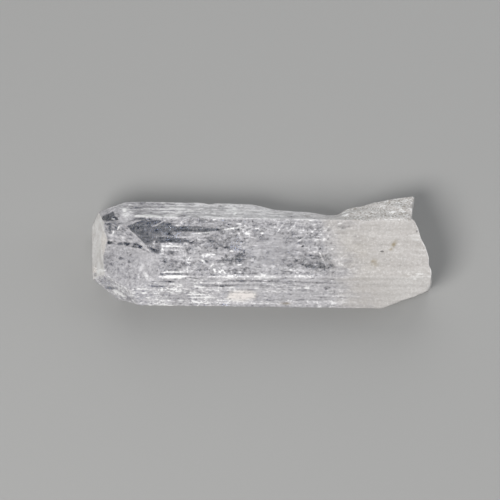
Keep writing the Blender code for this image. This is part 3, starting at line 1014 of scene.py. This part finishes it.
def sum_of(tree, *values):
    """All the values added up."""
    total = values[0]
    for value in values[1:]:
        total = arithmetic(tree, "ADD", total, value)
    return total


def rescale(tree, value, before, after):
    """Moves a value from one range to another, and keeps it inside the new one."""
    node = tree.nodes.new("ShaderNodeMapRange")
    feed(tree, node.inputs["Value"], value)
    for socket, number in zip(("From Min", "From Max", "To Min", "To Max"), (*before, *after)):
        node.inputs[socket].default_value = number
    return node.outputs["Result"]


def mixed_colour(tree, share, first, second):
    """A colour between two others. Share is how much of the second it has."""
    node = tree.nodes.new("ShaderNodeMix")
    node.data_type = "RGBA"
    feed(tree, node.inputs["Factor"], share)
    first_socket, second_socket = node.inputs[6:8]
    for socket, colour in ((first_socket, first), (second_socket, second)):
        if isinstance(colour, tuple):
            socket.default_value = (*colour, 1.0)
        else:
            tree.links.new(colour, socket)
    return node.outputs[2]


danburite = new_material("danburite")
tree_of = danburite.node_tree
shader = tree_of.nodes["Principled BSDF"]
REFRACTION = 1.63
shader.inputs["IOR"].default_value = REFRACTION
print("index of refraction:", REFRACTION)

# %% [markdown]
# Texture in space. Every fine texture here is taken at the object's own coordinates, as if the crystal
# were cut out of a block of noise, so it needs no unwrapping and has no seam. A texture is stretched by
# counting its waves per millimetre on each axis: few along the crystal and many across it give lines.

# %% Noise in the object's own space
def object_place(tree, stretch, offset):
    """The object's own coordinates, stretched and moved. Stretch is waves per millimetre on each axis."""
    where = tree.nodes.new("ShaderNodeTexCoord")
    mapping = tree.nodes.new("ShaderNodeMapping")
    mapping.inputs["Scale"].default_value = [waves / MM for waves in stretch]
    mapping.inputs["Location"].default_value = (offset, offset, offset)
    tree.links.new(where.outputs["Object"], mapping.inputs["Vector"])
    return mapping.outputs["Vector"]


def object_noise(tree, stretch, detail, roughness=0.55, offset=0.0):
    """Noise over the object's own coordinates."""
    texture = tree.nodes.new("ShaderNodeTexNoise")
    texture.inputs["Scale"].default_value = 1.0
    texture.inputs["Detail"].default_value = detail
    texture.inputs["Roughness"].default_value = roughness
    tree.links.new(object_place(tree, stretch, offset), texture.inputs["Vector"])
    return texture.outputs["Fac"]


GROWTH_WAVES = (0.12, 2.6, 2.6)
growth_lines = object_noise(tree_of, GROWTH_WAVES, 3.0)
growth_lines = rescale(tree_of, growth_lines, (0.3, 0.7), (-0.32, 0.32))
growth_lines = product(tree_of, growth_lines, from_mesh(tree_of, "lined"))
print("growth lines are about", round(1 / GROWTH_WAVES[1], 2), "millimetres apart")

# %% [markdown]
# Crackle. Crossing cracks leave cells with thin walls. A Voronoi texture gives just that, and its
# distance to the nearest edge is low on the walls. Real cracks aren't straight, so noise bends the
# coordinates first. The round specks use a Voronoi texture too: the colour of a cell is random, so it
# picks the few cells that have a speck.

# %% Crackle and specks
WALL_BEND = 1.3
BEND_WAVES = 0.9
SPECK_RIM = 0.38
SPECK_CORE = 0.14


def crack_cells(tree, stretch, offset):
    """Cells with bent walls, as crossing cracks leave them. Gives the distance to the nearest wall."""
    place = object_place(tree, stretch, offset)
    bend = tree.nodes.new("ShaderNodeTexNoise")
    bend.inputs["Scale"].default_value = BEND_WAVES
    tree.links.new(place, bend.inputs["Vector"])
    bent = tree.nodes.new("ShaderNodeVectorMath")
    bent.operation = "MULTIPLY_ADD"
    tree.links.new(bend.outputs["Color"], bent.inputs[0])
    bent.inputs[1].default_value = (WALL_BEND, WALL_BEND, WALL_BEND)
    tree.links.new(place, bent.inputs[2])
    cells = tree.nodes.new("ShaderNodeTexVoronoi")
    cells.feature = "DISTANCE_TO_EDGE"
    cells.inputs["Scale"].default_value = 1.0
    tree.links.new(bent.outputs["Vector"], cells.inputs["Vector"])
    return cells.outputs["Distance"]


def round_specks(tree, stretch, share, offset):
    """Small round specks in some of the cells of a pattern. Share is how many cells have one."""
    cells = tree.nodes.new("ShaderNodeTexVoronoi")
    cells.inputs["Scale"].default_value = 1.0
    tree.links.new(object_place(tree, stretch, offset), cells.inputs["Vector"])
    spot = rescale(tree, cells.outputs["Distance"], (SPECK_RIM, SPECK_CORE), (0.0, 1.0))
    split = tree.nodes.new("ShaderNodeSeparateColor")
    tree.links.new(cells.outputs["Color"], split.inputs["Color"])
    chosen = arithmetic(tree, "LESS_THAN", split.outputs["Red"], share)
    return product(tree, spot, chosen)


web_walls = rescale(tree_of, crack_cells(tree_of, (0.70, 0.95, 0.95), 2.0), (0.08, 0.0), (0.0, 0.34))
fine_walls = rescale(tree_of, crack_cells(tree_of, (1.5, 1.9, 1.9), 6.0), (0.10, 0.0), (0.0, 0.24))
web_here = object_noise(tree_of, (0.22, 0.35, 0.35), 1.0, offset=4.4)
web_here = rescale(tree_of, web_here, (0.42, 0.58), (0.0, 1.0))
web_fades = object_noise(tree_of, (1.1, 1.4, 1.4), 1.0, offset=9.2)
web_fades = rescale(tree_of, web_fades, (0.35, 0.60), (0.15, 1.0))
crack_web = product(tree_of, sum_of(tree_of, web_walls, fine_walls), web_here)
crack_web = product(tree_of, crack_web, web_fades)
print("nodes so far:", len(tree_of.nodes))

# %% [markdown]
# Slivers, specks and lines. On top of the crackle lie white and dark slivers, a fine grain, and specks.
# Each is one noise of which only the highest values are kept. Together they are added to the milk where
# the mesh says that the crystal is busy. The growth lines and the stipple of the tip have strengths of
# their own.

# %% Fine texture in the milk
white_slivers = object_noise(tree_of, (0.7, 2.6, 2.6), 2.0, offset=5.3)
white_slivers = rescale(tree_of, white_slivers, (0.56, 0.76), (0.0, 0.32))
dark_slivers = object_noise(tree_of, (0.7, 2.2, 2.2), 2.0, offset=8.9)
dark_slivers = rescale(tree_of, dark_slivers, (0.55, 0.76), (0.0, -0.34))
grain = object_noise(tree_of, (2.8, 3.6, 3.6), 3.0, offset=7.3)
grain = rescale(tree_of, grain, (0.3, 0.7), (-0.24, 0.24))
white_specks = product(tree_of, round_specks(tree_of, (0.9, 2.6, 2.6), 0.14, 1.7), 0.55)
dark_specks = object_noise(tree_of, (1.9, 2.3, 2.3), 2.0, offset=6.1)
dark_specks = rescale(tree_of, dark_specks, (0.60, 0.74), (0.0, -0.48))
crackle = sum_of(tree_of, white_slivers, dark_slivers, grain, crack_web, white_specks, dark_specks)
crackle = product(tree_of, crackle, from_mesh(tree_of, "busy"))
tip_grain = object_noise(tree_of, (2.2, 2.6, 2.6), 4.0, 0.75, offset=1.3)
tip_grain = rescale(tree_of, tip_grain, (0.3, 0.7), (-0.24, 0.24))
tip_specks = object_noise(tree_of, (3.8, 4.2, 4.2), 2.0, offset=4.9)
tip_specks = rescale(tree_of, tip_specks, (0.58, 0.74), (0.0, -0.36))
tip_texture = product(tree_of, sum_of(tree_of, tip_grain, tip_specks), from_mesh(tree_of, "stipple"))
milk_texture = sum_of(tree_of, crackle, growth_lines, tip_texture)
milk_here = arithmetic(tree_of, "ADD", from_mesh(tree_of, "milk"), milk_texture, clamp=True)
clearness = rescale(tree_of, milk_here, (0.0, 1.0), (1.0, 0.0))
tree_of.links.new(clearness, shader.inputs["Transmission Weight"])
print("nodes with the fine texture:", len(tree_of.nodes))

# %% [markdown]
# Colour. Clear danburite is nearly colourless, and its milk is a cool white that turns beige at the root.
# Sparks and worn edges are a purer white. The sparks, the whitest bits of crackle and the shine on worn
# edges are painted highlights, and the purer white on the back faces and on the front of the root is
# painted light. One spot of the front is cream, and two brown stains lie near the root. The colours are
# mixed one over the other, each by a number from the mesh. Broken faces get grey specks and painted glints.

# %% Colour and roughness
COOL_WHITE = (0.715, 0.70, 0.72)
WARM_WHITE = (0.590, 0.563, 0.542)
WARM_SHADE = (0.510, 0.484, 0.462)
BRIGHT_WHITE = (0.99, 0.99, 0.98)
CREAM = (0.86, 0.815, 0.785)
CLEAR_TINT = (0.90, 0.94, 1.0)
STAIN_BROWN = (0.30, 0.24, 0.13)
SPECK_GREY = (0.35, 0.315, 0.27)
POLISHED = 0.08
FROSTED = 0.60

root_veins = object_noise(tree_of, (0.35, 1.3, 1.3), 4.0, offset=3.7)
root_veins = rescale(tree_of, root_veins, (0.35, 0.65), (0.0, 1.0))
warm_white = mixed_colour(tree_of, root_veins, WARM_SHADE, WARM_WHITE)
white = mixed_colour(tree_of, from_mesh(tree_of, "warm"), COOL_WHITE, warm_white)
# Painted sparkle: where the crackle is whitest, the colour turns a purer white as highlights.
very_white = rescale(tree_of, milk_here, (0.82, 1.0), (0.0, 0.8))
white_and_painted_sparkle = product(tree_of, very_white, from_mesh(tree_of, "busy"))
white_and_painted_sparkle = arithmetic(tree_of, "MAXIMUM", white_and_painted_sparkle, from_mesh(tree_of, "bright"))
white = mixed_colour(tree_of, white_and_painted_sparkle, white, BRIGHT_WHITE)
white = mixed_colour(tree_of, from_mesh(tree_of, "cream"), white, CREAM)
white = mixed_colour(tree_of, from_mesh(tree_of, "stain"), white, STAIN_BROWN)
broken_here = from_mesh(tree_of, "broken")
# Grey specks darken the broken faces here and there.
grey_specks = object_noise(tree_of, (3.1, 3.1, 3.1), 3.0, 0.65, offset=5.9)
grey_specks = rescale(tree_of, grey_specks, (0.44, 0.62), (0.0, 0.95))
white = mixed_colour(tree_of, product(tree_of, grey_specks, broken_here), white, SPECK_GREY)
# Painted glints: bright white specks on broken faces stand for lamp light.
glints = object_noise(tree_of, (3.4, 3.4, 3.4), 2.0, offset=2.6)
glints = rescale(tree_of, glints, (0.54, 0.64), (0.0, 1.0))
white = mixed_colour(tree_of, product(tree_of, glints, broken_here), white, BRIGHT_WHITE)
tint = mixed_colour(tree_of, rescale(tree_of, milk_here, (0.0, 0.25), (0.0, 1.0)), CLEAR_TINT, white)
tree_of.links.new(tint, shader.inputs["Base Color"])
frost_here = from_mesh(tree_of, "frost")
tree_of.links.new(rescale(tree_of, frost_here, (0.0, 1.0), (POLISHED, FROSTED)), shader.inputs["Roughness"])
print("roughness from", POLISHED, "to", FROSTED)

# %% [markdown]
# Bump and depth. Lines too fine for the mesh bend the light by a bump map. Volume absorption makes light
# darker and bluer the further it goes through the glass, which is why a thick clear place looks darker
# than a thin one.

# %% Bump and depth
DEPTH_COLOUR = (0.56, 0.62, 0.75, 1)
DEPTH_DENSITY = 190.0
BUMP_STRENGTH = 0.7
BUMP_HEIGHT = 0.02 * MM

bump_lines = object_noise(tree_of, (0.10, 4.5, 4.5), 3.0, offset=3.1)
bump_lines = product(tree_of, bump_lines, rescale(tree_of, from_mesh(tree_of, "lined"), (0, 1), (0.2, 1.8)))
bump_grain = product(tree_of, object_noise(tree_of, (5.0, 5.0, 5.0), 2.0, offset=9.7), frost_here)
bump = tree_of.nodes.new("ShaderNodeBump")
bump.inputs["Strength"].default_value = BUMP_STRENGTH
bump.inputs["Distance"].default_value = BUMP_HEIGHT
bump_total = sum_of(tree_of, bump_lines, bump_grain, product(tree_of, crack_web, 0.6))
tree_of.links.new(bump_total, bump.inputs["Height"])
tree_of.links.new(bump.outputs["Normal"], shader.inputs["Normal"])

depth_node = tree_of.nodes.new("ShaderNodeVolumeAbsorption")
depth_node.inputs["Color"].default_value = DEPTH_COLOUR
depth_node.inputs["Density"].default_value = DEPTH_DENSITY
tree_of.links.new(depth_node.outputs["Volume"], tree_of.nodes["Material Output"].inputs["Volume"])
skin_mesh.materials.append(danburite)
print("nodes in the crystal's material:", len(tree_of.nodes))

# %% [markdown]
# The flakes stand for clusters of cracks too small to see, and such clusters scatter all light, so they
# are plain white and rather matt. They need no texture, because each is only a few tenths of a millimetre
# wide.

# %% The flakes' material
SNOW_WHITE = (0.95, 0.95, 0.95, 1)
SNOW_ROUGHNESS = 0.5
snow = new_material("snow")
snow_shader = snow.node_tree.nodes["Principled BSDF"]
snow_shader.inputs["Base Color"].default_value = SNOW_WHITE
snow_shader.inputs["Roughness"].default_value = SNOW_ROUGHNESS
flakes_mesh.materials.append(snow)
print("flakes with the snow material:", len(flakes_mesh.polygons) // (2 * CRACK_SIDES))

# %% [markdown]
# The floor. Clear glass shows what lies under it, so the floor is part of the look: a plain grey sheet,
# matt and far wider than the picture. It isn't part of the object, and lies a hair lower than the
# crystal's base so that the two surfaces never share a place.

# %% The floor
FLOOR_HALF = 400 * MM
FLOOR_GAP = 0.02 * MM
FLOOR_GREY = (0.345, 0.345, 0.34, 1)
FLOOR_ROUGHNESS = 0.9
floor_mesh = bpy.data.meshes.new("floor")
corners = [(-1, -1), (1, -1), (1, 1), (-1, 1)]
floor_mesh.from_pydata([(x * FLOOR_HALF, y * FLOOR_HALF, 0) for x, y in corners], [], [(0, 1, 2, 3)])
floor = bpy.data.objects.new("floor", floor_mesh)
floor.location.z = -FLOOR_GAP
bpy.context.scene.collection.objects.link(floor)
pale = new_material("pale_floor")
pale_shader = pale.node_tree.nodes["Principled BSDF"]
pale_shader.inputs["Base Color"].default_value = FLOOR_GREY
pale_shader.inputs["Roughness"].default_value = FLOOR_ROUGHNESS
floor_mesh.materials.append(pale)
print("the floor is", round(2 * FLOOR_HALF / MM), "millimetres wide")

# %% [markdown]
# Light. A broad warm lamp at the front left makes the main faces shine, a weak one at the right lifts the
# shadows, and a wide one behind sends light through the crystal, which a see-through thing needs most.
# The sky is a low even blue-white. Small lamps would give hard sparks, and soft discs look more like
# daylight.

# %% Light
def area_light(name, place, size, power, colour):
    """A round soft light at a place in millimetres, aimed at the crystal."""
    data = bpy.data.lights.new(name, "AREA")
    data.shape = "DISK"
    data.size = size * MM
    data.energy = power
    data.color = colour
    light = bpy.data.objects.new(name, data)
    light.location = Vector(place) * MM
    aim = Vector((0, 0, AXIS_HEIGHT)) * MM - light.location
    light.rotation_euler = aim.to_track_quat("-Z", "Y").to_euler()
    bpy.context.scene.collection.objects.link(light)


area_light("key", (-120, -220, 300), 170, 1.22, (1.0, 0.985, 0.97))
area_light("fill", (260, 60, 160), 200, 0.20, (0.95, 0.97, 1.0))
area_light("back", (40, 280, 220), 420, 0.50, (1.0, 0.99, 0.98))
SKY_COLOUR = (0.90, 0.93, 0.97, 1)
SKY_STRENGTH = 0.27
world = bpy.data.worlds.new("studio")
bpy.context.scene.world = world
world.use_nodes = True
sky = world.node_tree.nodes["Background"]
sky.inputs["Color"].default_value = SKY_COLOUR
sky.inputs["Strength"].default_value = SKY_STRENGTH
print("lamps:", len(bpy.data.lights))

# %% [markdown]
# The camera. It looks down steeply, and through a very long lens from far off, so that the crystal's long
# edges stay nearly parallel. The distance follows from the width that the picture takes in. The Standard
# view keeps colours as they are. Twenty bounces let light pass many crack walls, where fewer would leave
# black spots in the glass.

# %% The camera
LOOK_AT = Vector((-1.522, 0.245, 4.45)) * MM
FRAME_WIDTH = 66.17 * MM
LENS = 600
SENSOR = 36
NEAREST = 0.05
BOUNCES = 20
camera_data = bpy.data.cameras.new("camera")
camera_data.lens = LENS
camera_data.sensor_width = SENSOR
camera_data.clip_start = NEAREST
camera = bpy.data.objects.new("camera", camera_data)
camera.location = LOOK_AT + TOWARDS_CAMERA * (FRAME_WIDTH / SENSOR * LENS)
camera.rotation_euler = (math.pi / 2 - ELEVATION, 0, 0)
bpy.context.scene.collection.objects.link(camera)
scene = bpy.context.scene
scene.camera = camera
scene.view_settings.view_transform = "Standard"
scene.cycles.max_bounces = BOUNCES
scene.cycles.transmission_bounces = BOUNCES
print("the camera is", round(FRAME_WIDTH / SENSOR * LENS, 2), "metres away")
